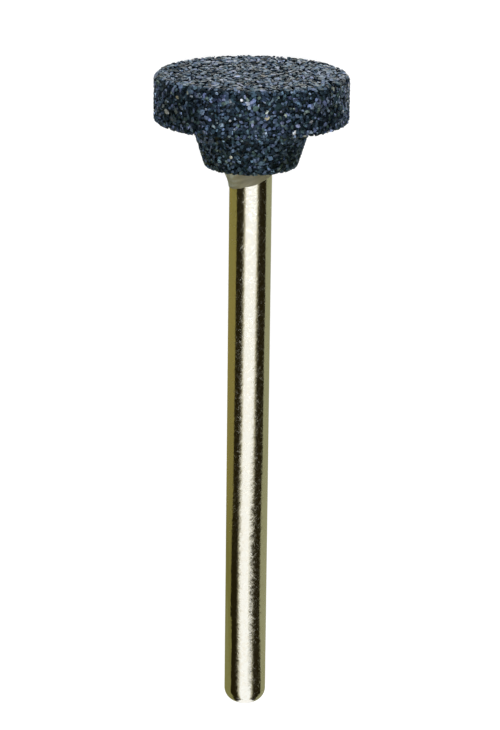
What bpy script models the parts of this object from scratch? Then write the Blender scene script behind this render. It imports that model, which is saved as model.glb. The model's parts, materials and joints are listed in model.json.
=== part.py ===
"""Mounted point: an abrasive head cemented on a straight steel mandrel, lying on its side.

The tool is modelled along its own axis: the mandrel's free end is at height zero and the head is on
top. An empty then lays it down as it comes to rest, on the rim of its disc and on its free end, with
the origin under the middle of the whole tool.
"""

import math

import bmesh
import bpy
from mathutils import Matrix, Vector

# Sizes of the whole tool, in metres
OVERALL_LENGTH = 0.0470
SHANK_DIAMETER = 0.0030
DISC_DIAMETER = 0.0137
DISC_THICKNESS = 0.00345
HUB_HEIGHT = 0.0033
HUB_DIAMETER_AT_DISC = 0.0086
HUB_DIAMETER_AT_END = 0.0065

# Rounded edges
DISC_FACE_ROUNDING = 0.00062
DISC_RIM_ROUNDING = 0.0003
HUB_ROOT_FILLET = 0.0004
HUB_END_ROUNDING = 0.0005
SHANK_END_ROUNDING = 0.0010

# Blind bore moulded in the head, wider and deeper than the mandrel by the cement that fills it
CEMENT_THICKNESS = 0.00025
CEMENT_OVER_MANDREL = 0.0003
BORE_DEPTH = 0.0047
BORE_END_ROUNDING = 0.0004

# Seating end of the mandrel: two knurled bands with a ring groove between them
SEAT_CHAMFER = 0.0002
KNURL_MARGIN = 0.0005
KNURL_RUN_OUT = 0.00015
KNURL_CREST = 0.00005
KNURL_ROOT = 0.0001
GROOVE_WIDTH = 0.0008
GROOVE_DEPTH = 0.00025

# Bead of cement squeezed out under the hub, larger on one side
BEAD_HEIGHT = 0.00077
BEAD_SPREAD = 0.0003
BEAD_LIP = 0.00004
BEAD_UNEVENNESS = 0.73
BEAD_LOW_SIDE_DEG = 207.0
BEAD_HOLLOWNESS = 1.6
BEAD_STEPS = 6

# Gap left between each two pieces that are bonded together
BOND_GAP = 0.00003

# Fineness of the round surfaces
HEAD_SIDES = 64
SHANK_SIDES = 48
ARC_STEP_DEG = 15.0
SHARP_EDGE_DEG = 35.0
MERGE_DISTANCE = 0.000001

# Levels and radii that the pieces share, worked out from the sizes above
SHANK_RADIUS = SHANK_DIAMETER / 2
BORE_RADIUS = SHANK_RADIUS + CEMENT_THICKNESS
DISC_UNDERSIDE = OVERALL_LENGTH - DISC_THICKNESS
HUB_END = DISC_UNDERSIDE - HUB_HEIGHT
BORE_END = HUB_END + BORE_DEPTH
MANDREL_TOP = BORE_END - CEMENT_OVER_MANDREL
BEAD_TOP = HUB_END - BOND_GAP


def clear_scene():
    for item in list(bpy.data.objects):
        bpy.data.objects.remove(item, do_unlink=True)


def make_material(name, colour, metallic, roughness):
    material = bpy.data.materials.new(name)
    material.use_nodes = True
    surface = material.node_tree.nodes["Principled BSDF"]
    surface.inputs["Base Color"].default_value = (*colour, 1.0)
    surface.inputs["Metallic"].default_value = metallic
    surface.inputs["Roughness"].default_value = roughness
    return material


def round_corner(before, corner, after, rounding):
    """Points of the arc that rounds a profile's corner and touches both of its edges."""
    corner = Vector(corner)
    back = (Vector(before) - corner).normalized()
    onward = (Vector(after) - corner).normalized()
    turn = math.pi - back.angle(onward)
    reach = rounding * math.tan(turn / 2)
    middle = corner + (back + onward).normalized() * (rounding / math.cos(turn / 2))
    first = corner + back * reach - middle
    last = corner + onward * reach - middle
    steps = math.ceil(math.degrees(turn) / ARC_STEP_DEG)
    points = []
    for step in range(steps + 1):
        share = turn * step / steps
        arm = first * math.sin(turn - share) + last * math.sin(share)
        points.append(tuple(middle + arm / math.sin(turn)))
    return points


def rounded_profile(corners):
    """Profile through corners of (radius, height, rounding); a rounding of zero keeps a corner sharp."""
    profile = []
    for index, (radius, height, rounding) in enumerate(corners):
        if rounding == 0:
            profile.append((radius, height))
            continue
        before = corners[index - 1][:2]
        after = corners[index + 1][:2]
        profile.extend(round_corner(before, (radius, height), after, rounding))
    return profile


def head_profile():
    """From the middle of the bore's end, down the bore, round the hub and the disc, to the face's middle."""
    return rounded_profile([
        (0, BORE_END, 0),
        (BORE_RADIUS, BORE_END, BORE_END_ROUNDING),
        (BORE_RADIUS, HUB_END, 0),
        (HUB_DIAMETER_AT_END / 2, HUB_END, HUB_END_ROUNDING),
        (HUB_DIAMETER_AT_DISC / 2, DISC_UNDERSIDE, HUB_ROOT_FILLET),
        (DISC_DIAMETER / 2, DISC_UNDERSIDE, DISC_RIM_ROUNDING),
        (DISC_DIAMETER / 2, OVERALL_LENGTH, DISC_FACE_ROUNDING),
        (0, OVERALL_LENGTH, 0),
    ])


def knurled_bands():
    """Lowest and highest level of each band where the knurl has its full depth."""
    low = HUB_END + KNURL_MARGIN + KNURL_RUN_OUT
    high = MANDREL_TOP - KNURL_MARGIN - KNURL_RUN_OUT
    middle = (low + high) / 2
    half_gap = GROOVE_WIDTH / 2 + KNURL_RUN_OUT
    return [(low, middle - half_gap), (middle + half_gap, high)]


def seat_profile(offset):
    """The mandrel's seating end from its lowest knurl to its top, moved outwards by offset."""
    wall = SHANK_RADIUS + offset
    top = MANDREL_TOP + offset
    (low, groove_low), (groove_high, high) = knurled_bands()
    groove_low_edge = groove_low + KNURL_RUN_OUT
    groove_high_edge = groove_high - KNURL_RUN_OUT
    return [
        (wall, low - KNURL_RUN_OUT),
        (wall, low),
        (wall, groove_low),
        (wall, groove_low_edge),
        (wall - GROOVE_DEPTH, groove_low_edge + GROOVE_DEPTH),
        (wall - GROOVE_DEPTH, groove_high_edge - GROOVE_DEPTH),
        (wall, groove_high_edge),
        (wall, groove_high),
        (wall, high),
        (wall, high + KNURL_RUN_OUT),
        (wall, top - SEAT_CHAMFER),
        (wall - SEAT_CHAMFER, top),
        (0, top),
    ]


def mandrel_profile():
    """From the middle of the free end, round its edge and up the shank, through the seating end."""
    shank = rounded_profile([
        (0, 0, 0),
        (SHANK_RADIUS, 0, SHANK_END_ROUNDING),
        (SHANK_RADIUS, HUB_END, 0),
    ])
    return shank + seat_profile(0)


def bead_profile(wall):
    """The bead's hollow flank, from its widest place under the hub down to its lip on the shank."""
    points = []
    for step in range(BEAD_STEPS + 1):
        share = step / BEAD_STEPS
        spread = BEAD_LIP + (BEAD_SPREAD - BEAD_LIP) * (1 - share) ** BEAD_HOLLOWNESS
        points.append((wall + spread, BEAD_TOP - BEAD_HEIGHT * share))
    return points


def cement_profile():
    """From the bore's end down its wall, out round the bead, and up the mandrel's seat to its top."""
    wall = SHANK_RADIUS + BOND_GAP
    filling = rounded_profile([
        (0, BORE_END - BOND_GAP, 0),
        (BORE_RADIUS - BOND_GAP, BORE_END - BOND_GAP, BORE_END_ROUNDING - BOND_GAP),
        (BORE_RADIUS - BOND_GAP, BEAD_TOP, 0),
    ])
    lip = [(wall, BEAD_TOP - BEAD_HEIGHT)]
    return filling + bead_profile(wall) + lip + seat_profile(BOND_GAP)


def turn_profile(profile, sides):
    """Spin a profile that starts and ends on the axis, with a flat side facing each axis direction."""
    shape = bmesh.new()
    first_side = Matrix.Rotation(math.pi / sides, 4, "Z")
    points = [shape.verts.new(first_side @ Vector((radius, 0, height))) for radius, height in profile]
    edges = [shape.edges.new(pair) for pair in zip(points, points[1:])]
    bmesh.ops.spin(shape, geom=points + edges, axis=(0, 0, 1), cent=(0, 0, 0),
                   angle=math.tau, steps=sides, use_merge=True)
    bmesh.ops.remove_doubles(shape, verts=shape.verts, dist=MERGE_DISTANCE)
    bmesh.ops.recalc_face_normals(shape, faces=shape.faces)
    return shape


def set_radius(vertex, radius):
    factor = radius / vertex.co.xy.length
    vertex.co.x *= factor
    vertex.co.y *= factor


def knurl(shape, wall):
    """Straight teeth: every second vertex of the knurled bands stands out, and the rest go in."""
    side = math.tau / SHANK_SIDES
    for low, high in knurled_bands():
        for vertex in shape.verts:
            on_wall = abs(vertex.co.xy.length - wall) < MERGE_DISTANCE
            if not on_wall or not low - MERGE_DISTANCE < vertex.co.z < high + MERGE_DISTANCE:
                continue
            number = round(math.atan2(vertex.co.y, vertex.co.x) / side - 0.5)
            depth = KNURL_CREST if number % 2 else -KNURL_ROOT
            set_radius(vertex, wall + depth)


def slump_bead(shape, wall):
    """Make the bead taller and wider on its low side, and smaller on the other."""
    low_side = math.radians(BEAD_LOW_SIDE_DEG)
    for vertex in shape.verts:
        below = BEAD_TOP - vertex.co.z
        radius = vertex.co.xy.length
        on_rim = abs(below) < MERGE_DISTANCE and radius > BORE_RADIUS
        if below < MERGE_DISTANCE and not on_rim:
            continue
        angle = math.atan2(vertex.co.y, vertex.co.x)
        growth = 1 + BEAD_UNEVENNESS * math.cos(angle - low_side)
        vertex.co.z = BEAD_TOP - below * growth
        set_radius(vertex, wall + (radius - wall) * growth)


def resting_place():
    """Tilt of the axis of the tool lying on its side, and where that leaves the tool's zero point.

    The tool lies on flat sides, so radii are measured to the middle of a side. The surface is the
    line that touches the free end and the disc's rim with the whole tool on one side of it.
    """
    shank_flat = math.cos(math.pi / SHANK_SIDES)
    head_flat = math.cos(math.pi / HEAD_SIDES)
    mandrel = [(radius * shank_flat, height) for radius, height in mandrel_profile()]
    head = [(radius * head_flat, height) for radius, height in head_profile()]
    tilt = min(
        max(math.atan2(rim[0] - end[0], rim[1] - end[1]) for rim in head)
        for end in mandrel
    )
    points = mandrel + head
    lowest = min(z * math.sin(tilt) - r * math.cos(tilt) for r, z in points)
    near = min(z * math.cos(tilt) - r * math.sin(tilt) for r, z in points)
    far = max(z * math.cos(tilt) + r * math.sin(tilt) for r, z in points)
    return tilt, Vector((0, -(near + far) / 2, -lowest))


def add_piece(name, shape, material, parent):
    mesh = bpy.data.meshes.new(name)
    shape.to_mesh(mesh)
    shape.free()
    mesh.shade_smooth()
    mesh.set_sharp_from_angle(angle=math.radians(SHARP_EDGE_DEG))
    mesh.materials.append(material)
    piece = bpy.data.objects.new(name, mesh)
    bpy.context.scene.collection.objects.link(piece)
    piece.parent = parent
    return piece


def make_head(parent):
    shape = turn_profile(head_profile(), HEAD_SIDES)
    grit = make_material("bonded_grit", (0.030, 0.038, 0.050), 0.0, 0.75)
    add_piece("abrasive_head", shape, grit, parent)


def make_mandrel(parent):
    shape = turn_profile(mandrel_profile(), SHANK_SIDES)
    knurl(shape, SHANK_RADIUS)
    steel = make_material("polished_steel", (0.62, 0.59, 0.50), 1.0, 0.16)
    add_piece("mandrel", shape, steel, parent)


def make_cement(parent):
    wall = SHANK_RADIUS + BOND_GAP
    shape = turn_profile(cement_profile(), SHANK_SIDES)
    knurl(shape, wall)
    slump_bead(shape, wall)
    resin = make_material("set_cement", (0.21, 0.19, 0.11), 0.0, 0.45)
    add_piece("cement", shape, resin, parent)


def make_rest_frame():
    tilt, location = resting_place()
    frame = bpy.data.objects.new("rest_frame", None)
    frame.rotation_euler = (tilt - math.pi / 2, 0, 0)
    frame.location = location
    bpy.context.scene.collection.objects.link(frame)
    return frame


def main():
    clear_scene()
    rest_frame = make_rest_frame()
    make_head(rest_frame)
    make_mandrel(rest_frame)
    make_cement(rest_frame)


main()
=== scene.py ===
"""Looks of a small mounted point: a head of coarse bonded grit on a polished steel mandrel.

Each shape is worked out in the tool's own frame, in metres: Z is the tool's axis, the shank's free
end is at zero and -Y is the side that faces up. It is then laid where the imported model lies.
"""
import json
import math

import bpy
import numpy as np
from mathutils import Matrix, Vector


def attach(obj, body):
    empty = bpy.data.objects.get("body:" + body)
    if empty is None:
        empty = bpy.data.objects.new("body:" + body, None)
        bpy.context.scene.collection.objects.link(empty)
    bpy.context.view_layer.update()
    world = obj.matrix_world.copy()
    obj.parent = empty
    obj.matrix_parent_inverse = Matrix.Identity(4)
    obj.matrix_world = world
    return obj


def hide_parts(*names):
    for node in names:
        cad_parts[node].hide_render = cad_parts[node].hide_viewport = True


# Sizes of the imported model, in metres
DISC_THICKNESS = 0.00345
DISC_FACE_ROUNDING = 0.00062
DISC_RIM_ROUNDING = 0.0003
HUB_HEIGHT = 0.0033
HUB_DISC_RADIUS = 0.0043
HUB_END_RADIUS = 0.00325
HUB_ROOT_FILLET = 0.0004
HUB_END_ROUNDING = 0.0005
SHANK_RADIUS = 0.0015
SHANK_END_ROUNDING = 0.0010
SHANK_INSET = 0.0000036
CEMENT_THICKNESS = 0.00025
CEMENT_OVER_MANDREL = 0.0003
BORE_DEPTH = 0.0047
BORE_END_ROUNDING = 0.0004
SEAT_CHAMFER = 0.0002
KNURL_MARGIN = 0.0005
KNURL_TEETH = 24
KNURL_CREST = 0.00002
KNURL_ROOT = 0.00007
GROOVE_WIDTH = 0.0008
GROOVE_DEPTH = 0.00025
BEAD_HEIGHT = 0.00077
BEAD_SPREAD = 0.0003
BEAD_LIP = 0.00003
BEAD_UNEVENNESS = 0.73
BEAD_LOW_SIDE_DEG = 207.0
BEAD_HOLLOWNESS = 1.6
BOND_GAP = 0.00003

# How finely the turned pieces are cut, and how uneven the bead is
BOND_SIDES = 360
BOND_STATIONS = 200
MANDREL_SIDES = 240
SHANK_STATIONS = 60
KNURL_STEP = 0.0001
CEMENT_SIDES = 160
BEAD_STATIONS = 22
BEAD_LUMPS = 0.00001
BEAD_EDGE = 0.00002

# Grit: spacing of the grains, their size against it, and how deep the two layers of them lie
GRAIN_PITCH = 0.00024
FACE_PITCH = 0.00029
GRAIN_SIDES = 5
GRAIN_SIZE = 0.61
GRAIN_SIZE_SPREAD = 0.24
GRAIN_TILT = 0.32
GRAIN_INSET = 0.000015
PORE_SHARE = 0.20
BED_DEPTH = 0.00014
# Painted shade: share of the tone left to the bed's grains, which darkens the pores
BED_PAINTED_SHADE = 0.22
BOND_DEPTH = 0.00030
BOND_RELIEF = 0.00005
HUB_GRIT_START = 0.00016

# One grain before its turn: limits of its stretch, of its rings' reach and of its tips' height
GRAIN_LENGTH = (0.8, 1.5)
GRAIN_WIDTH = (0.6, 1.0)
RING_REACH = (0.72, 1.12)
RING_LEVEL = 0.42
RING_LEVEL_JITTER = 0.16
RING_JITTER = 0.22
TIP_HEIGHT = (0.6, 1.0)
TIP_OFFSET = 0.3

# Where a grain sits: jitter in shares of the pitch, depth of its middle, share of a lean that is cut
JITTER_AROUND = 0.38
JITTER_ALONG = 0.42
GRAIN_SINK = (0.05, 0.5)
CUT_SHARE = 0.6

# The photograph's frame and the camera that matches it
IMAGE_WIDTH = 500
IMAGE_HEIGHT = 730
CAMERA_DISTANCE = 0.210
CAMERA_RISE = math.radians(16.62)
CAMERA_ROLL = math.radians(0.684)
PIXELS_PER_METRE = 14006.0
CAMERA_AIM = np.array([0.000107, 0.0, 0.02577])

# Edges of the bands that the steel mirrors: height in millimetres, then shares of the shank's radius
WHITE_BAND = (
    (38.5, -0.255, 0.356), (27.0, -0.285, 0.335), (18.3, -0.290, 0.318), (16.0, -0.325, 0.240),
    (13.8, -0.372, 0.155), (6.4, -0.365, 0.165), (4.7, -0.315, 0.335), (1.0, -0.300, 0.360),
)
LEFT_BAND = (
    (38.5, -0.634), (27.0, -0.644), (18.3, -0.661), (16.0, -0.683), (13.8, -0.724), (9.3, -0.728),
    (7.1, -0.741), (4.9, -0.663), (2.6, -0.690), (0.5, -0.690),
)
RIGHT_BAND = (
    (38.5, 0.739), (29.5, 0.753), (27.0, 0.735), (18.3, 0.736), (16.0, 0.692), (11.5, 0.665),
    (7.1, 0.675), (4.9, 0.742), (2.6, 0.773), (0.5, 0.800),
)
BAND_FADE = 0.085

# Sheets that the steel mirrors, in metres, shares of the band's length, and slopes
SOFTBOX_DISTANCE = 0.25
SOFTBOX_COLUMNS = 25
SOFTBOX_FAR_SHARE = 1.2
SOFTBOX_FAR_SHIFT = 0.07
SOFTBOX_NEAR_SHARE = 0.2
SOFTBOX_GROUND = (-0.095, 0.150, -0.45)
ROWS_PER_KNOT = 4
BAND_REACH = 0.15
BAND_LIFT = 0.0001
BAND_MARGIN = 0.0015
BAND_SPREAD = 0.08
TIP_SPREAD = 0.55

# White lane on the floor: where it starts before the tip, its half width there, its slopes
LANE_START = 0.0008
LANE_HALF_WIDTH = 0.0005
LANE_SPREAD = 0.28
LANE_LEAN = 0.06
FLOOR_HALF_SIDE = 1.0

# Light over the head
LIGHT_RADIANCE = 2.1
LIGHT_SIZE = 0.16
LIGHT_DISTANCE = 0.22
LIGHT_LEAN = math.radians(55)
LIGHT_AIM = Vector((0, 0.02, 0.007))

# Heights between which the steel's looks change, in millimetres
TIP_LEVEL = 0.0
TOP_LEVEL = 40.0

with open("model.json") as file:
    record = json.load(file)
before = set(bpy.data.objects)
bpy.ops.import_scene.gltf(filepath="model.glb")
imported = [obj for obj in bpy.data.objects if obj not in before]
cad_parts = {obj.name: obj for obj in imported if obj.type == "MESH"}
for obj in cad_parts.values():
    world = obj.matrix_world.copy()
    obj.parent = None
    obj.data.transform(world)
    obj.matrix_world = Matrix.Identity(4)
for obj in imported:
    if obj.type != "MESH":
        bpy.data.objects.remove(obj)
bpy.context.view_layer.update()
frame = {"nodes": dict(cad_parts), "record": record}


def mount_place(name):
    mounts = {mount["name"]: mount for mount in frame["record"]["mounts"]}
    return np.array(mounts[name]["pos_m"])


FOOT = mount_place("shank_end")
LENGTH = float(np.linalg.norm(mount_place("grinding_face") - FOOT))
AXIS = (mount_place("grinding_face") - FOOT) / LENGTH
TOOL_AXES = np.array([(1.0, 0.0, 0.0), np.cross(AXIS, (1.0, 0.0, 0.0)), AXIS])


def to_row(points):
    """Points of the tool's own frame in the row frame: a turn onto the laid axes, then a shift."""
    return points @ TOOL_AXES + FOOT


def widest_radius(node_name):
    """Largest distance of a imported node's vertices from the tool's axis."""
    mesh = frame["nodes"][node_name].data
    places = np.empty(len(mesh.vertices) * 3, np.float32)
    mesh.vertices.foreach_get("co", places)
    in_tool = (places.reshape(-1, 3) - FOOT) @ TOOL_AXES.T
    return float(np.hypot(in_tool[:, 0], in_tool[:, 1]).max())


DISC_RADIUS = widest_radius("abrasive_head")
DISC_UNDERSIDE = LENGTH - DISC_THICKNESS
HUB_END = DISC_UNDERSIDE - HUB_HEIGHT
BORE_RADIUS = SHANK_RADIUS + CEMENT_THICKNESS
BORE_END = HUB_END + BORE_DEPTH
MANDREL_TOP = BORE_END - CEMENT_OVER_MANDREL


# Profiles

def corner_arc(before, corner, after, rounding, steps):
    """Arc that rounds a corner: the two touch points turned about the middle by equal shares."""
    back = (before - corner) / np.linalg.norm(before - corner)
    onward = (after - corner) / np.linalg.norm(after - corner)
    turn = math.pi - math.acos(float(np.clip(back @ onward, -1, 1)))
    bisector = (back + onward) / np.linalg.norm(back + onward)
    middle = corner + bisector * rounding / math.cos(turn / 2)
    reach = rounding * math.tan(turn / 2)
    share = np.linspace(0, turn, steps + 1)[:, None]
    first = corner + back * reach - middle
    last = corner + onward * reach - middle
    return middle + (first * np.sin(turn - share) + last * np.sin(share)) / math.sin(turn)


def rounded_profile(corners, arc_steps):
    """Profile of (radius, height) rows through corners of (radius, height, rounding)."""
    parts = []
    places = np.array([corner[:2] for corner in corners], float)
    for index, (_, _, rounding) in enumerate(corners):
        if rounding == 0:
            parts.append(places[index:index + 1])
            continue
        before, corner, after = places[index - 1:index + 2]
        parts.append(corner_arc(before, corner, after, rounding, arc_steps))
    return np.concatenate(parts)


def walk_profile(profile, distance):
    """Place and outward normal at each distance walked along a profile, by straight interpolation."""
    steps = np.diff(profile, axis=0)
    lengths = np.hypot(steps[:, 0], steps[:, 1])
    walked = np.concatenate([[0], np.cumsum(lengths)])
    radius = np.interp(distance, walked, profile[:, 0])
    height = np.interp(distance, walked, profile[:, 1])
    middles = (walked[1:] + walked[:-1]) / 2
    out = np.interp(distance, middles, steps[:, 1] / lengths)
    up = np.interp(distance, middles, -steps[:, 0] / lengths)
    size = np.hypot(out, up)
    return radius, height, out / size, up / size


def profile_length(profile):
    steps = np.diff(profile, axis=0)
    return float(np.hypot(steps[:, 0], steps[:, 1]).sum())


# Meshes

def add_mesh(name, vertices, faces, material, node_name, smooth):
    """A mesh of the tool's own frame, laid in the row frame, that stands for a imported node.

    Attribute "tool_mm" is each vertex's place in the tool's own frame, in millimetres.
    """
    mesh = bpy.data.meshes.new(name)
    mesh.from_pydata(to_row(vertices), [], faces)
    mesh.polygons.foreach_set("use_smooth", np.full(len(mesh.polygons), smooth))
    mesh.materials.append(material)
    layer = mesh.attributes.new("tool_mm", "FLOAT_VECTOR", "POINT")
    layer.data.foreach_set("vector", (vertices * 1000).astype(np.float32).ravel())
    piece = bpy.data.objects.new(name, mesh)
    bpy.context.scene.collection.objects.link(piece)
    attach(piece, "root")
    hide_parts(node_name)
    return piece


def grid_faces(rows, columns):
    """Quads of a grid closed round its columns, with a triangle fan to one vertex at each end."""
    row = np.arange(rows - 1)[:, None] * columns
    column = np.arange(columns)[None, :]
    following = (column + 1) % columns
    quads = np.stack([row + column, row + following, row + columns + following, row + columns + column], -1)
    first_pole = rows * columns
    last = (rows - 1) * columns
    start_fan = np.stack([column[0] * 0 + first_pole, following[0], column[0]], -1)
    end_fan = np.stack([last + column[0], last + following[0], column[0] * 0 + first_pole + 1], -1)
    return quads.reshape(-1, 4).tolist() + start_fan.tolist() + end_fan.tolist()


def turned_piece(name, radius, height, poles, material, node_name):
    """Surface of a turned body: x = radius cos(angle), y = radius sin(angle), z = height.

    radius and height are grids of stations by angles, and poles are the heights of its two ends.
    """
    stations, sides = radius.shape
    angle = np.arange(sides) / sides * math.tau
    grid = np.stack([radius * np.cos(angle), radius * np.sin(angle), height], -1).reshape(-1, 3)
    ends = np.array([(0, 0, poles[0]), (0, 0, poles[1])])
    vertices = np.concatenate([grid, ends])
    return add_mesh(name, vertices, grid_faces(stations, sides), material, node_name, True)


def soft_noise(shape, passes, rng):
    """Random field on a grid that closes round its columns, blurred by averaging with neighbours."""
    field = rng.standard_normal(shape)
    for _ in range(passes):
        field = (field + np.roll(field, 1, 1) + np.roll(field, -1, 1)) / 3
        inner = (field[:-2] + field[1:-1] + field[2:]) / 3
        field = np.concatenate([field[:1], inner, field[-1:]])
    return field / field.std()


# Head

def head_outline():
    """The head's outside, from the bore's mouth, round the hub and the disc, to the face's middle."""
    return rounded_profile([
        (BORE_RADIUS, HUB_END, 0),
        (HUB_END_RADIUS, HUB_END, HUB_END_ROUNDING),
        (HUB_DISC_RADIUS, DISC_UNDERSIDE, HUB_ROOT_FILLET),
        (DISC_RADIUS, DISC_UNDERSIDE, DISC_RIM_ROUNDING),
        (DISC_RADIUS, LENGTH, DISC_FACE_ROUNDING),
        (0, LENGTH, 0),
    ], 12)


def bore_outline():
    return rounded_profile([
        (0, BORE_END, 0),
        (BORE_RADIUS, BORE_END, BORE_END_ROUNDING),
        (BORE_RADIUS, HUB_END + BOND_DEPTH, 0),
    ], 6)


def make_bond(material):
    """The bond between the grains: the head's outline moved in by a depth that varies softly."""
    rng = np.random.default_rng(11)
    outline = head_outline()
    distance = np.linspace(0, profile_length(outline), BOND_STATIONS + 1)[:-1]
    radius, height, out, up = (values[:, None] for values in walk_profile(outline, distance))
    noise = soft_noise((BOND_STATIONS, BOND_SIDES), 1, rng)
    depth = BOND_DEPTH + BOND_RELIEF * np.clip(noise, -2, 2)
    out_radius = np.maximum(radius - out * depth, 0.00001)
    out_height = height - up * depth
    bore = bore_outline()[1:]
    bore_radius = np.repeat(bore[:, :1], BOND_SIDES, 1)
    bore_height = np.repeat(bore[:, 1:], BOND_SIDES, 1)
    radius = np.concatenate([bore_radius, out_radius])
    height = np.concatenate([bore_height, out_height])
    turned_piece("head_bond", radius, height, (BORE_END, LENGTH - BOND_DEPTH), material, "abrasive_head")


def grain_faces():
    """Triangles of one grain: a fan at each tip and a band of split quads between the two rings."""
    ring = np.arange(GRAIN_SIDES)
    low = ring + 1
    low_next = (ring + 1) % GRAIN_SIDES + 1
    high = low + GRAIN_SIDES
    high_next = low_next + GRAIN_SIDES
    tip = np.full(GRAIN_SIDES, 2 * GRAIN_SIDES + 1)
    return np.concatenate([
        np.stack([ring * 0, low_next, low], -1),
        np.stack([low, low_next, high_next], -1),
        np.stack([low, high_next, high], -1),
        np.stack([high, high_next, tip], -1),
    ])


def grain_map():
    """Places of one grain's triangles in a unit square: the same rings and tips, laid out flat."""
    left = np.arange(GRAIN_SIDES) / GRAIN_SIDES
    right = left + 1 / GRAIN_SIDES
    middle = (left + right) / 2
    levels = [np.full(GRAIN_SIDES, level / 3) for level in range(4)]

    def triangles(*corners):
        return np.stack([np.stack([across, levels[level]], -1) for across, level in corners], 1)

    return np.concatenate([
        triangles((middle, 0), (right, 1), (left, 1)),
        triangles((left, 1), (right, 1), (right, 2)),
        triangles((left, 1), (right, 2), (left, 2)),
        triangles((left, 2), (right, 2), (middle, 3)),
    ])


def grain_shapes(count, rng):
    """Two rings and two tips for each grain, with every corner pushed in or out at random."""
    shape = (count, 2, GRAIN_SIDES)
    ring = (np.arange(GRAIN_SIDES) + rng.uniform(-RING_JITTER, RING_JITTER, shape)) / GRAIN_SIDES * math.tau
    reach = rng.uniform(*RING_REACH, shape)
    levels = np.array([-RING_LEVEL, RING_LEVEL])[None, :, None]
    level = levels + rng.uniform(-RING_LEVEL_JITTER, RING_LEVEL_JITTER, shape)
    rings = np.stack([reach * np.cos(ring), reach * np.sin(ring), level], -1)
    tips = np.zeros((count, 2, 1, 3))
    tips[:, :, 0, :2] = rng.uniform(-TIP_OFFSET, TIP_OFFSET, (count, 2, 2))
    tips[:, 0, 0, 2] = -rng.uniform(*TIP_HEIGHT, count)
    tips[:, 1, 0, 2] = rng.uniform(*TIP_HEIGHT, count)
    return np.concatenate([tips[:, 0], rings[:, 0], rings[:, 1], tips[:, 1]], 1)


def random_turns(count, rng):
    """Rotation matrices of random unit quaternions."""
    q = rng.standard_normal((count, 4))
    w, x, y, z = (q / np.linalg.norm(q, axis=1, keepdims=True)).T
    return np.stack([
        1 - 2 * (y * y + z * z), 2 * (x * y - z * w), 2 * (x * z + y * w),
        2 * (x * y + z * w), 1 - 2 * (x * x + z * z), 2 * (y * z - x * w),
        2 * (x * z - y * w), 2 * (y * z + x * w), 1 - 2 * (x * x + y * y),
    ], -1).reshape(count, 3, 3)


def scatter_grains(outline, low, high, pitch, share, rng):
    """Walked distance and angle of a share of the places that rows one pitch apart give, jittered."""
    rows = np.arange(low + pitch / 2, high, pitch)
    radius = walk_profile(outline, rows)[0]
    counts = np.maximum(np.round(math.tau * radius / pitch).astype(int), 1)
    row = np.repeat(np.arange(len(rows)), counts)
    number = np.arange(len(row)) - np.repeat(np.cumsum(counts) - counts, counts)
    phase = rng.uniform(0, 1, len(rows))[row]
    angle = (number + phase + rng.uniform(-JITTER_AROUND, JITTER_AROUND, len(row))) / counts[row] * math.tau
    distance = rows[row] + rng.uniform(-JITTER_ALONG, JITTER_ALONG, len(row)) * pitch
    kept = rng.uniform(0, 1, len(row)) < share
    return np.clip(distance, low, high)[kept], angle[kept]


def grain_layer(outline, low, high, pitch, share, depth, rng):
    """Corners of one layer of grains on a stretch of the head's outline.

    Each grain is turned at random, set with its middle below the layer's level, and cut off by a
    plane of its own that leans a little and stays under that level, as the mould leaves it.
    """
    distance, angle = scatter_grains(outline, low, high, pitch, share, rng)
    count = len(distance)
    radius, height, out, up = walk_profile(outline, distance)
    length = rng.uniform(*GRAIN_LENGTH, count)
    width = rng.uniform(*GRAIN_WIDTH, count)
    stretch = np.stack([length, width, np.ones(count)], -1)
    size = pitch * GRAIN_SIZE * np.exp(rng.normal(0, GRAIN_SIZE_SPREAD, count))
    shapes = grain_shapes(count, rng) * stretch[:, None, :]
    corners = np.einsum("nij,nkj->nki", random_turns(count, rng), shapes) * size[:, None, None]
    sunk = size * rng.uniform(*GRAIN_SINK, count)
    lean = rng.normal(0, GRAIN_TILT, (count, 2))
    cut = (corners[..., :2] * lean[:, None, :]).sum(-1)
    cut = cut - np.maximum(cut.max(1) * CUT_SHARE, 0)[:, None]
    over = np.minimum(np.minimum(corners[..., 2] - sunk[:, None], cut), 0) - depth
    cos, sin = np.cos(angle), np.sin(angle)
    normal = np.stack([out * cos, out * sin, up], -1)
    around = np.stack([-sin, cos, np.zeros(count)], -1)
    along = np.cross(normal, around)
    place = np.stack([radius * cos, radius * sin, height], -1)
    return (
        place[:, None, :]
        + corners[..., :1] * around[:, None, :]
        + corners[..., 1:2] * along[:, None, :]
        + over[..., None] * normal[:, None, :]
    )


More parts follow.
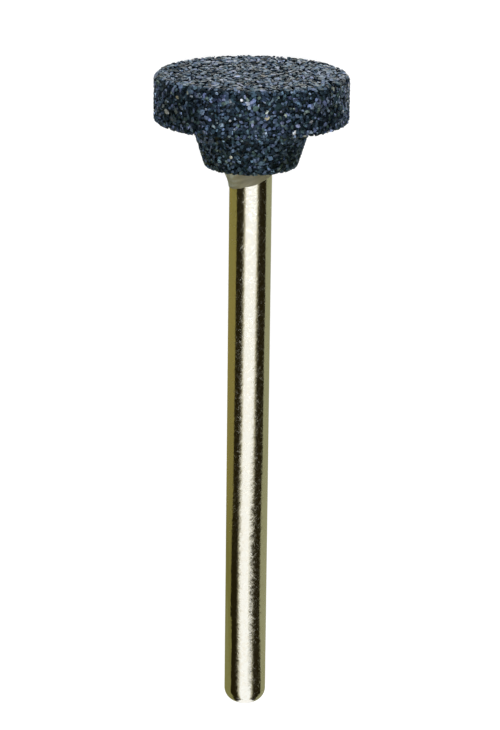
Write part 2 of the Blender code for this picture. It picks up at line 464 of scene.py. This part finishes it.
def make_grains(name, low, high, pitch, painted_light_stops, hues, pale, seed, material):
    """A stretch of grit: a bed of grains and, over it, a layer that leaves pores open.

    Attributes "tone", "shine" and "hue" are one random value a grain. The tone is raised to a power,
    then scaled, by stops of (millimetres across, power, scale), which paint light and shade across the
    piece. The bed's grains are kept low in tone, painted shade in the pores, and the upper grains next
    to the pale places, in millimetres across and along, are highest.
    """
    rng = np.random.default_rng(seed)
    outline = head_outline()
    bed = grain_layer(outline, low, high, pitch, 1.0, BED_DEPTH, rng)
    top = grain_layer(outline, low, high, pitch, 1.0 - PORE_SHARE, GRAIN_INSET, rng)
    corners = np.concatenate([bed, top])
    count, per_grain = corners.shape[:2]
    faces = grain_faces()[None] + (np.arange(count) * per_grain)[:, None, None]
    triangles = faces.reshape(-1, 3).tolist()
    piece = add_mesh(name, corners.reshape(-1, 3), triangles, material, "abrasive_head", False)
    looks = {label: rng.uniform(0, 1, count) for label in ("tone_and_shade", "shine", "hue")}
    middles = corners.mean(1) * 1000
    # Painted light and shade: each grain's tone is raised and scaled by where it lies across the tool
    stops, powers, scales = zip(*painted_light_stops)
    power = np.interp(middles[:, 0], stops, powers)
    looks["tone_and_shade"] = looks["tone_and_shade"] ** power * np.interp(middles[:, 0], stops, scales)
    looks["hue"] = hues[0] + (hues[1] - hues[0]) * looks["hue"]
    # Painted shade: the bed's grains, seen only through the pores, are darkened
    looks["tone_and_shade"][:len(bed)] *= BED_PAINTED_SHADE
    for across, along in pale:
        off = np.hypot(middles[:, 0] - across, middles[:, 2] - along)
        off[:len(bed)] = np.inf
        off[middles[:, 1] > 0] = np.inf
        looks["tone_and_shade"][np.argmin(off)] = 1
    for label, values in looks.items():
        layer = piece.data.attributes.new(label, "FLOAT", "POINT")
        layer.data.foreach_set("value", np.repeat(values, per_grain).astype(np.float32))
    cells = math.ceil(math.sqrt(count))
    cell = np.stack([np.arange(count) % cells, np.arange(count) // cells], -1)
    places = (cell[:, None, None, :] + 0.1 + grain_map()[None] * 0.8) / cells
    layer = piece.data.uv_layers.new(name="OFBake")
    layer.data.foreach_set("uv", places.astype(np.float32).ravel())


def make_head():
    make_bond(bond_material())
    outline = head_outline()
    total = profile_length(outline)
    face_start = total - DISC_RADIUS
    side_start = face_start - DISC_THICKNESS
    material = grain_material()
    face_end = total - FACE_PITCH / 4
    # Painted light and shade in the tone stops: the hub's grains are darker, as shade under the disc, and
    # lighter towards its left flank; the face's grains are darker and flatter towards the right, where its
    # light is strongest
    make_grains("grit_hub", HUB_GRIT_START, side_start, GRAIN_PITCH, [(-3.2, 0.45, 0.98), (-1.8, 1.0, 0.88)],
                (0.0, 0.75), [(-1.3, 41.65)], 21, material)
    make_grains("grit_side", side_start, face_start, GRAIN_PITCH, [(0.0, 1.0, 1.0)],
                (0.0, 1.0), [(-0.6, 46.3)], 22, material)
    make_grains("grit_face", face_start, face_end, FACE_PITCH, [(1.5, 1.0, 0.96), (3.5, 0.7, 0.83)],
                (0.2, 0.7), [], 23, material)


# Mandrel

def make_mandrel():
    """Ground shank with a rounded end, and the knurled and grooved end that sits in the head.

    The knurl is a wave round each band: crest and root about the wall, by the cosine of the teeth.
    """
    wall = SHANK_RADIUS - SHANK_INSET
    low = HUB_END + KNURL_MARGIN
    high = MANDREL_TOP - KNURL_MARGIN
    middle = (low + high) / 2
    groove = GROOVE_WIDTH / 2
    end = rounded_profile([(0, 0, 0), (wall, 0, SHANK_END_ROUNDING), (wall, low, 0)], 24)[1:-1]
    heights = np.linspace(SHANK_END_ROUNDING, low, SHANK_STATIONS + 2)[1:-1]
    bare = np.stack([np.full(SHANK_STATIONS, wall), heights], -1)
    seat = np.array([
        (wall, low), (wall, low + KNURL_STEP),
        (wall, middle - groove - KNURL_STEP), (wall, middle - groove),
        (wall - GROOVE_DEPTH, middle - groove + GROOVE_DEPTH),
        (wall - GROOVE_DEPTH, middle + groove - GROOVE_DEPTH),
        (wall, middle + groove), (wall, middle + groove + KNURL_STEP),
        (wall, high - KNURL_STEP), (wall, high),
        (wall, MANDREL_TOP - SEAT_CHAMFER), (wall - SEAT_CHAMFER, MANDREL_TOP),
    ])
    knurled = np.zeros(len(seat))
    knurled[[1, 2, 7, 8]] = 1
    angle = np.arange(MANDREL_SIDES) / MANDREL_SIDES * math.tau
    wave = np.cos(angle * KNURL_TEETH)
    teeth = np.where(wave > 0, wave * KNURL_CREST, wave * KNURL_ROOT)
    stations = np.concatenate([end, bare, seat])
    depth = np.concatenate([np.zeros(len(end) + len(bare)), knurled])
    radius = stations[:, :1] + depth[:, None] * teeth[None, :]
    height = np.repeat(stations[:, 1:], MANDREL_SIDES, 1)
    turned_piece("mandrel_steel", radius, height, (0, MANDREL_TOP), steel_material(), "mandrel")


# Cement

def make_cement():
    """Cement in the bore, and its bead under the hub: a hollow flank, taller and wider on one side."""
    rng = np.random.default_rng(5)
    wall = SHANK_RADIUS + BOND_GAP
    outer = BORE_RADIUS - BOND_GAP
    share = np.linspace(0, 1, BEAD_STATIONS)
    spread = BEAD_SPREAD * (1 - share) ** BEAD_HOLLOWNESS
    filling = rounded_profile([
        (0, BORE_END - BOND_GAP, 0),
        (outer, BORE_END - BOND_GAP, BORE_END_ROUNDING - BOND_GAP),
        (outer, HUB_END - BOND_GAP, 0),
    ], 6)[1:]
    angle = np.arange(CEMENT_SIDES) / CEMENT_SIDES * math.tau
    growth = 1 + BEAD_UNEVENNESS * np.cos(angle - math.radians(BEAD_LOW_SIDE_DEG))
    lumps = soft_noise((len(share), CEMENT_SIDES), 6, rng) * BEAD_LUMPS
    settle = np.sin(share * math.pi)[:, None]
    bead_radius = wall + BEAD_LIP + spread[:, None] * growth + lumps * settle
    edge = soft_noise((3, CEMENT_SIDES), 8, rng)[1] * BEAD_EDGE
    bead_height = HUB_END - BOND_GAP - share[:, None] * (BEAD_HEIGHT * growth + edge)
    inside = np.array([(wall, MANDREL_TOP - SEAT_CHAMFER), (wall - SEAT_CHAMFER, MANDREL_TOP + BOND_GAP)])
    radius = np.concatenate([
        np.repeat(filling[:, :1], CEMENT_SIDES, 1), bead_radius, np.full((1, CEMENT_SIDES), wall),
        np.repeat(inside[:, :1], CEMENT_SIDES, 1)])
    height = np.concatenate([
        np.repeat(filling[:, 1:], CEMENT_SIDES, 1), bead_height, bead_height[-1:],
        np.repeat(inside[:, 1:], CEMENT_SIDES, 1)])
    poles = (BORE_END - BOND_GAP, MANDREL_TOP + BOND_GAP)
    turned_piece("cement_bead", radius, height, poles, cement_material(), "cement")


# Materials

def node(tree, kind, inputs=None, **settings):
    """A shader node with its settings, and with values or links for its named inputs."""
    made = tree.nodes.new(kind)
    for key, value in settings.items():
        setattr(made, key, value)
    for key, value in (inputs or {}).items():
        if isinstance(value, bpy.types.NodeSocket):
            tree.links.new(value, made.inputs[key])
        else:
            made.inputs[key].default_value = value
    return made


def ramp(tree, factor, stops):
    """Colour ramp with stops of (place, colour)."""
    made = node(tree, "ShaderNodeValToRGB", {"Fac": factor})
    elements = made.color_ramp.elements
    while len(elements) < len(stops):
        elements.new(0.5)
    for element, (place, colour) in zip(elements, stops):
        element.position = place
        element.color = (*colour, 1)
    return made.outputs["Color"]


def linear_map(tree, value, low, high, at_low=0.0, at_high=1.0):
    """A value that runs straight from at_low at low to at_high at high, and stays there beyond."""
    limits = {"Value": value, "From Min": low, "From Max": high, "To Min": at_low, "To Max": at_high}
    return node(tree, "ShaderNodeMapRange", limits).outputs["Result"]


def math_node(tree, operation, *values):
    return node(tree, "ShaderNodeMath", dict(enumerate(values)), operation=operation).outputs[0]


def mix_colours(tree, factor, first, second):
    return node(tree, "ShaderNodeMix", {0: factor, 6: first, 7: second}, data_type="RGBA").outputs[2]


def multiply_colours(tree, first, second):
    return node(tree, "ShaderNodeVectorMath", {0: first, 1: second}, operation="MULTIPLY").outputs[0]


def noise_value(tree, place, scale, detail=2.0, roughness=0.5, dimensions="3D"):
    inputs = {"Vector": place, "Scale": scale, "Detail": detail, "Roughness": roughness}
    return node(tree, "ShaderNodeTexNoise", inputs, noise_dimensions=dimensions).outputs["Fac"]


def slanted(tree, place, rotation, scale):
    """Places measured along turned and stretched axes."""
    inputs = {"Vector": place, "Rotation": [math.radians(turn) for turn in rotation], "Scale": scale}
    return node(tree, "ShaderNodeMapping", inputs, vector_type="TEXTURE").outputs[0]


def new_material(name):
    material = bpy.data.materials.new(name)
    material.use_nodes = True
    tree = material.node_tree
    return material, tree, tree.nodes["Principled BSDF"]


def attribute(tree, name, output):
    return node(tree, "ShaderNodeAttribute", attribute_name=name).outputs[output]


def grain_material():
    """Blue-black grit that gleams like metal: each grain has its own hue and shine, and a tone that is
    partly its own and partly painted light and shade.

    The hue runs from teal to lavender, and one grain in ten is brownish.
    """
    material, tree, surface = new_material("grit_grains")
    tone_and_shade = attribute(tree, "tone_and_shade", "Fac")
    teal = ramp(tree, tone_and_shade, [
        (0.00, (0.009, 0.019, 0.025)),
        (0.25, (0.028, 0.058, 0.072)),
        (0.55, (0.066, 0.120, 0.146)),
        (0.85, (0.138, 0.205, 0.244)),
        (0.985, (0.26, 0.32, 0.36)),
        (1.00, (0.60, 0.60, 0.50)),
    ])
    lavender = ramp(tree, tone_and_shade, [
        (0.00, (0.011, 0.017, 0.026)),
        (0.25, (0.034, 0.050, 0.090)),
        (0.55, (0.080, 0.108, 0.200)),
        (0.85, (0.162, 0.195, 0.370)),
        (0.985, (0.28, 0.31, 0.49)),
        (1.00, (0.65, 0.65, 0.72)),
    ])
    hue = attribute(tree, "hue", "Fac")
    tint = ramp(tree, hue, [(0.07, (1.22, 1.05, 0.80)), (0.13, (1.0, 1.0, 1.0))])
    colour = multiply_colours(tree, mix_colours(tree, hue, teal, lavender), tint)
    tree.links.new(colour, surface.inputs["Base Color"])
    surface.inputs["Metallic"].default_value = 0.9
    rough = linear_map(tree, attribute(tree, "shine", "Fac"), 0.0, 1.0, 0.32, 0.62)
    tree.links.new(rough, surface.inputs["Roughness"])
    return material


def bond_material():
    material, tree, surface = new_material("grit_bond")
    colour = ramp(tree, noise_value(tree, attribute(tree, "tool_mm", "Vector"), 5.0), [
        (0.30, (0.002, 0.005, 0.007)),
        (0.70, (0.008, 0.015, 0.021)),
    ])
    tree.links.new(colour, surface.inputs["Base Color"])
    surface.inputs["Roughness"].default_value = 0.75
    return material


def hairlines(tree, unrolled, lean):
    """Short fine scratches that lean from the axis, from noise stretched along their direction."""
    laid = slanted(tree, unrolled, (0, 0, lean), (0.17, 0.8, 1.0))
    return linear_map(tree, noise_value(tree, laid, 1.0, 1.0, dimensions="2D"), 0.66, 0.78)


def steel_relief(tree, place, height):
    """Soft waves, less round pits that are more frequent near the tip."""
    waves = noise_value(tree, place, 1.6, 3.0, 0.6)
    cells = node(tree, "ShaderNodeTexVoronoi", {"Vector": place, "Scale": 3.4})
    pit = node(tree, "ShaderNodeMapRange",
               {"Value": cells.outputs["Distance"], "From Min": 0.10, "From Max": 0.26,
                "To Min": 1.0, "To Max": 0.0}, interpolation_type="SMOOTHSTEP").outputs["Result"]
    chance = node(tree, "ShaderNodeSeparateColor", {"Color": cells.outputs["Color"]}).outputs["Red"]
    share = linear_map(tree, height, TIP_LEVEL, TOP_LEVEL, 0.55, 0.25)
    pits = math_node(tree, "MULTIPLY", pit, math_node(tree, "LESS_THAN", chance, share))
    return math_node(tree, "MULTIPLY_ADD", pits, -0.2, waves)


def steel_material():
    """Ground steel: soft waves that fray the edges of what it mirrors, hairlines, specks and pits.

    It is duller in flecks and where it is scratched or specked, and calmer at the left near the tip.
    """
    material, tree, surface = new_material("polished_steel")
    place = attribute(tree, "tool_mm", "Vector")
    split = node(tree, "ShaderNodeSeparateXYZ", {"Vector": place})
    x, y, height = split.outputs["X"], split.outputs["Y"], split.outputs["Z"]
    relief = steel_relief(tree, place, height)
    bump = node(tree, "ShaderNodeBump", {"Height": relief, "Strength": 1.0, "Distance": 0.000012})
    tree.links.new(bump.outputs["Normal"], surface.inputs["Normal"])
    surface.inputs["Metallic"].default_value = 1.0
    flecks = noise_value(tree, place, 3.8, 2.0, 0.6)
    dullest = linear_map(tree, height, TIP_LEVEL, TOP_LEVEL, 0.23, 0.20)
    dulled = linear_map(tree, flecks, 0.40, 0.70, 0.09, dullest)
    turn = math_node(tree, "ARCTAN2", x, math_node(tree, "MULTIPLY", y, -1.0))
    around = math_node(tree, "MULTIPLY", turn, SHANK_RADIUS * 1000)
    unrolled = node(tree, "ShaderNodeCombineXYZ", {"X": around, "Y": height}).outputs[0]
    scratched = math_node(tree, "MAXIMUM", hairlines(tree, unrolled, 38), hairlines(tree, unrolled, -44))
    specks = linear_map(tree, noise_value(tree, place, 5.5), 0.52, 0.70)
    specked = math_node(tree, "MULTIPLY", specks, linear_map(tree, height, 42.0, 26.0))
    marked = math_node(tree, "MAXIMUM", scratched, specked)
    rough = math_node(tree, "MULTIPLY_ADD", marked, 0.13, dulled)
    lively = math_node(tree, "MAXIMUM", linear_map(tree, x, -0.9, -0.1), linear_map(tree, height, 9.0, 15.0))
    kept = math_node(tree, "MULTIPLY_ADD", lively, 0.5, 0.5)
    tree.links.new(math_node(tree, "MULTIPLY", rough, kept), surface.inputs["Roughness"])
    colour = ramp(tree, flecks, [(0.45, (0.81, 0.79, 0.73)), (0.70, (0.79, 0.75, 0.66))])
    tree.links.new(colour, surface.inputs["Base Color"])
    return material


def cement_material():
    """Olive-grey cement with slanted streaks, paler and greyer at its left end."""
    material, tree, surface = new_material("set_cement")
    place = attribute(tree, "tool_mm", "Vector")
    streaks = noise_value(tree, slanted(tree, place, (0, -25, 0), (1.0, 1.0, 0.3)), 0.8, 3.0)
    across = node(tree, "ShaderNodeSeparateXYZ", {"Vector": place}).outputs["X"]
    left_end = math_node(tree, "MULTIPLY", linear_map(tree, across, -0.9, -1.5), 0.20)
    paler = math_node(tree, "MULTIPLY_ADD", streaks, 0.7, left_end)
    colour = ramp(tree, paler, [
        (0.24, (0.165, 0.147, 0.088)),
        (0.35, (0.215, 0.188, 0.112)),
        (0.46, (0.28, 0.255, 0.160)),
        (0.60, (0.42, 0.425, 0.33)),
    ])
    tree.links.new(colour, surface.inputs["Base Color"])
    surface.inputs["Roughness"].default_value = 0.45
    return material


# Stage

def stage_mesh(name, vertices, faces, material):
    mesh = bpy.data.meshes.new(name)
    mesh.from_pydata(vertices, [], faces)
    mesh.materials.append(material)
    piece = bpy.data.objects.new(name, mesh)
    bpy.context.scene.collection.objects.link(piece)
    return piece


def emission_tree(name):
    material = bpy.data.materials.new(name)
    material.use_nodes = True
    material.node_tree.nodes.clear()
    return material, material.node_tree


def emit(tree, colour):
    """Ends a tree with plain emission of a colour."""
    glow = node(tree, "ShaderNodeEmission", {"Color": colour})
    node(tree, "ShaderNodeOutputMaterial", {"Surface": glow.outputs[0]})


def floor_material():
    """White to the camera with a faint shadow, and a painted studio to what mirrors it.

    Seen in the steel it is nearly black, but a white lane runs from the tip towards -Y, and the
    floor beyond the head is white.
    """
    material, tree = emission_tree("floor")
    white = node(tree, "ShaderNodeEmission", {"Color": (1, 1, 1, 1), "Strength": 0.90})
    shaded = node(tree, "ShaderNodeBsdfDiffuse", {"Color": (0.25, 0.25, 0.25, 1)})
    seen = node(tree, "ShaderNodeAddShader", {0: white.outputs[0], 1: shaded.outputs[0]})
    place = node(tree, "ShaderNodeTexCoord").outputs["Object"]
    split = node(tree, "ShaderNodeSeparateXYZ", {"Vector": place})
    x, y = split.outputs["X"], split.outputs["Y"]
    ahead = math_node(tree, "SUBTRACT", float(FOOT[1]) + LANE_START, y)
    half_width = math_node(tree, "MULTIPLY_ADD", ahead, LANE_SPREAD, LANE_HALF_WIDTH)
    off_middle = math_node(tree, "SUBTRACT", x, math_node(tree, "MULTIPLY", ahead, LANE_LEAN))
    off_lane = math_node(tree, "ABSOLUTE", math_node(tree, "DIVIDE", off_middle, half_width))
    lane = ramp(tree, linear_map(tree, off_lane, 0.0, 4.0), [
        (0.22, (1.17, 1.175, 1.17)),
        (0.28, (0.014, 0.011, 0.004)),
    ])
    before_tip = linear_map(tree, ahead, -0.0001, 0.0001)
    beside_head = ramp(tree, linear_map(tree, y, 0.0, 0.02), [
        (0.65, (0.014, 0.011, 0.004)),
        (0.85, (0.12, 0.18, 0.23)),
    ])
    near = mix_colours(tree, before_tip, beside_head, lane)
    beyond = linear_map(tree, y, 0.020, 0.024)
    beyond_white = ramp(tree, linear_map(tree, x, -0.05, 0.05), [
        (0.30, (0.85, 0.83, 0.76)),
        (0.64, (2.5, 2.32, 2.02)),
        (0.78, (0.75, 0.75, 0.70)),
    ])
    glow = node(tree, "ShaderNodeEmission", {"Color": mix_colours(tree, beyond, near, beyond_white)})
    ray = node(tree, "ShaderNodeLightPath")
    mixed = node(tree, "ShaderNodeMixShader",
                 {0: ray.outputs["Is Camera Ray"], 1: glow.outputs[0], 2: seen.outputs[0]})
    node(tree, "ShaderNodeOutputMaterial", {"Surface": mixed.outputs[0]})
    return material


def card_material(name, stops):
    """Card with stops of colour by the height of the shank that mirrors it, a little unsettled."""
    material, tree = emission_tree(name)
    place = node(tree, "ShaderNodeTexCoord").outputs["Object"]
    wander = linear_map(tree, noise_value(tree, place, 110.0, 3.0), 0.25, 0.75)
    height = math_node(tree, "MULTIPLY_ADD", wander, 0.4, attribute(tree, "height", "Fac"))
    emit(tree, ramp(tree, math_node(tree, "SUBTRACT", height, 0.2), stops))
    return material


def softbox_material():
    """White that fades through cream to dark edges, and is stronger over the head.

    Its own UV map measures it: x is the share across, and y the share from over the head to the floor.
    """
    material, tree = emission_tree("softbox")
    shares = node(tree, "ShaderNodeSeparateXYZ", {"Vector": node(tree, "ShaderNodeUVMap").outputs["UV"]})
    from_edge = math_node(tree, "PINGPONG", shares.outputs["X"], 0.5)
    colour = ramp(tree, from_edge, [
        (0.00, (0.022, 0.018, 0.008)),
        (0.05, (0.11, 0.10, 0.06)),
        (0.11, (0.38, 0.35, 0.23)),
        (0.16, (0.88, 0.85, 0.72)),
        (0.22, (1.16, 1.165, 1.15)),
    ])
    boost = ramp(tree, shares.outputs["Y"], [
        (0.055, (4.5, 4.8, 5.1)),
        (0.085, (0.92, 0.915, 0.89)),
        (0.20, (0.965, 0.965, 0.95)),
        (0.30, (0.99, 0.995, 0.985)),
        (0.60, (0.99, 0.995, 0.985)),
        (0.70, (1.00, 1.015, 1.03)),
    ])
    emit(tree, multiply_colours(tree, colour, boost))
    return material


def make_world():
    """White to the camera. To every other ray, by how much it runs along +Y: pale, black, then cool."""
    world = bpy.data.worlds.new("studio")
    bpy.context.scene.world = world
    world.use_nodes = True
    tree = world.node_tree
    tree.nodes.clear()
    ray = node(tree, "ShaderNodeLightPath")
    way = node(tree, "ShaderNodeTexCoord").outputs["Generated"]
    along = node(tree, "ShaderNodeSeparateXYZ", {"Vector": way}).outputs["Y"]
    studio = ramp(tree, linear_map(tree, along, -1.0, 1.0), [
        (0.02, (0.50, 0.49, 0.44)),
        (0.07, (0.017, 0.0125, 0.0035)),
        (0.46, (0.017, 0.0125, 0.0035)),
        (0.53, (0.175, 0.22, 0.235)),
        (0.88, (0.175, 0.22, 0.235)),
        (0.95, (1.95, 2.0, 2.1)),
    ])
    colour = mix_colours(tree, ray.outputs["Is Camera Ray"], studio, (1, 1, 1, 1))
    back = node(tree, "ShaderNodeBackground", {"Color": colour})
    node(tree, "ShaderNodeOutputWorld", {"Surface": back.outputs[0]})


def camera_axes():
    """The camera's right, up and forward directions in the tool's own frame."""
    forward = np.array([0, math.cos(CAMERA_RISE), -math.sin(CAMERA_RISE)])
    right = np.array([1.0, 0, 0])
    up = np.array([0, math.sin(CAMERA_RISE), math.cos(CAMERA_RISE)])
    rolled_right = math.cos(CAMERA_ROLL) * right + math.sin(CAMERA_ROLL) * up
    rolled_up = math.cos(CAMERA_ROLL) * up - math.sin(CAMERA_ROLL) * right
    return rolled_right, rolled_up, forward


CAMERA_PLACE = CAMERA_AIM - camera_axes()[2] * CAMERA_DISTANCE


def mirrored_ray(height, share):
    """Point of the shank at a height in millimetres and a share of its radius, and the ray from it.

    The ray is the camera's, mirrored in the round wall.
    """
    normal = np.array([share, -math.sqrt(1 - share * share), 0])
    point = normal * SHANK_RADIUS + np.array([0, 0, height / 1000])
    ray = point - CAMERA_PLACE
    ray = ray / np.linalg.norm(ray)
    return point, ray - 2 * (ray @ normal) * normal


def make_softbox():
    """White sheet whose mirror image in the shank has the band's edges, run on down to the floor.

    Its rows are heights of the shank and its columns are even shares of the band's width, each laid
    where the mirrored ray meets a plane. Its UV map holds the share across, and the share along.
    """
    middle, facing = mirrored_ray(20.0, 0.04)
    centre = middle + facing * SOFTBOX_DISTANCE
    across = np.linspace(0, 1, SOFTBOX_COLUMNS)

    def on_plane(height, share):
        point, ray = mirrored_ray(height, share)
        return point + ray * ((centre - point) @ facing) / (ray @ facing)

    band = np.array([[on_plane(height, left - BAND_FADE + (right - left + 2 * BAND_FADE) * part)
                      for part in across] for height, left, right in WHITE_BAND])
    far = band[0] + (band[0] - band[-1]) * SOFTBOX_FAR_SHARE - (SOFTBOX_FAR_SHIFT, 0, 0)
    near = band[-1] + (band[-1] - band[0]) * SOFTBOX_NEAR_SHARE
    left, right, before = SOFTBOX_GROUND
    ground = np.stack([left + (right - left) * across, across * 0 + before, across * 0], -1)
    knots = np.stack([to_row(far), *to_row(band), to_row(near), ground])
    steps = np.linspace(0, len(knots) - 1, ROWS_PER_KNOT * (len(knots) - 1) + 1)
    low = np.minimum(steps.astype(int), len(knots) - 2)
    part = (steps - low)[:, None, None]
    grid = knots[low] * (1 - part) + knots[low + 1] * part
    row = np.arange(len(steps) - 1)[:, None] * len(across)
    first = row + np.arange(len(across) - 1)[None, :]
    faces = np.stack([first, first + 1, first + len(across) + 1, first + len(across)], -1).reshape(-1, 4)
    sheet = stage_mesh("softbox", grid.reshape(-1, 3), faces.tolist(), softbox_material())
    layer = sheet.data.uv_layers.new(name="shares")
    u = np.tile(across, len(steps))[faces]
    v = np.repeat(steps / steps[-1], len(across))[faces]
    layer.data.foreach_set("uv", np.stack([u, v], -1).astype(np.float32).ravel())
    sheet.visible_camera = False


def make_head_light():
    """Soft light over the head from +Y, which the disc keeps off the hub and the steel doesn't mirror."""
    light = bpy.data.lights.new("head_light", "AREA")
    light.size = LIGHT_SIZE
    light.energy = LIGHT_RADIANCE * math.pi * light.size ** 2
    holder = bpy.data.objects.new("head_light", light)
    bpy.context.scene.collection.objects.link(holder)
    holder.visible_camera = False
    toward = Vector((0.0, math.sin(LIGHT_LEAN), math.cos(LIGHT_LEAN)))
    holder.location = LIGHT_AIM + toward * LIGHT_DISTANCE
    holder.rotation_euler = toward.to_track_quat("Z", "Y").to_euler()


def make_side_band(name, edges, stops):
    """Coloured sheet beside the tool whose mirror image in the shank ends at the given edges.

    Each row runs over the floor from under the tool to where the mirrored ray of its edge lands, or
    to a limit, where it turns up to meet the ray. One more row at each end widens it.
    """
    rows = []
    for height, share in edges:
        point, ray = mirrored_ray(height, share)
        start = to_row(point)
        way = ray @ TOOL_AXES
        reach = BAND_REACH / abs(way[0])
        if way[2] < 0:
            reach = min(reach, start[2] / -way[2])
        end = start + way * reach
        top = max(end[2], 2 * BAND_LIFT)
        rows.append([(0, start[1], BAND_LIFT), (end[0], end[1], BAND_LIFT), (end[0], end[1], top)])
    heights = np.array([edges[0][0], *(edge[0] for edge in edges), edges[-1][0]]) / edges[0][0]
    rows.insert(0, [(x, y + BAND_MARGIN + BAND_SPREAD * abs(x), z) for x, y, z in rows[0]])
    rows.append([(x, y - BAND_MARGIN - TIP_SPREAD * abs(x), z) for x, y, z in rows[-1]])
    faces = []
    for index in range(len(rows) - 1):
        for column in range(2):
            first = index * 3 + column
            faces.append((first, first + 1, first + 4, first + 3))
    sheet = stage_mesh(name, np.array(rows).reshape(-1, 3), faces, card_material(name, stops))
    layer = sheet.data.attributes.new("height", "FLOAT", "POINT")
    layer.data.foreach_set("value", np.repeat(heights, 3).astype(np.float32))
    sheet.visible_camera = False
    sheet.visible_shadow = False
    sheet.visible_diffuse = False


def make_camera():
    """Camera at the photograph's angle, well above the tool and a little rolled."""
    right, up, forward = camera_axes()
    axes = np.stack([right, up, -forward]) @ TOOL_AXES
    lens = bpy.data.cameras.new("camera")
    lens.sensor_width = 36.0
    lens.lens = PIXELS_PER_METRE * CAMERA_DISTANCE * lens.sensor_width / max(IMAGE_WIDTH, IMAGE_HEIGHT)
    lens.clip_start = 0.01
    camera = bpy.data.objects.new("camera", lens)
    bpy.context.scene.collection.objects.link(camera)
    camera.matrix_world = Matrix.Translation(to_row(CAMERA_PLACE)) @ Matrix(axes.T.tolist()).to_4x4()
    bpy.context.scene.camera = camera


def main():
    bpy.context.scene.view_settings.view_transform = "Standard"
    make_camera()
    make_world()
    half = FLOOR_HALF_SIDE
    corners = [(-half, -half, 0), (half, -half, 0), (half, half, 0), (-half, half, 0)]
    stage_mesh("floor", corners, [(0, 1, 2, 3)], floor_material())
    make_softbox()
    make_side_band("left_band", LEFT_BAND, [
        (0.05, (0.235, 0.230, 0.088)),
        (0.22, (0.190, 0.178, 0.050)),
        (0.50, (0.245, 0.212, 0.062)),
        (0.85, (0.275, 0.228, 0.062)),
        (1.00, (0.250, 0.225, 0.066)),
    ])
    make_side_band("right_band", RIGHT_BAND, [
        (0.05, (0.31, 0.31, 0.17)),
        (0.20, (0.34, 0.34, 0.20)),
        (0.60, (0.32, 0.32, 0.18)),
        (1.00, (0.34, 0.35, 0.21)),
    ])
    make_head_light()
    make_head()
    make_mandrel()
    make_cement()


main()
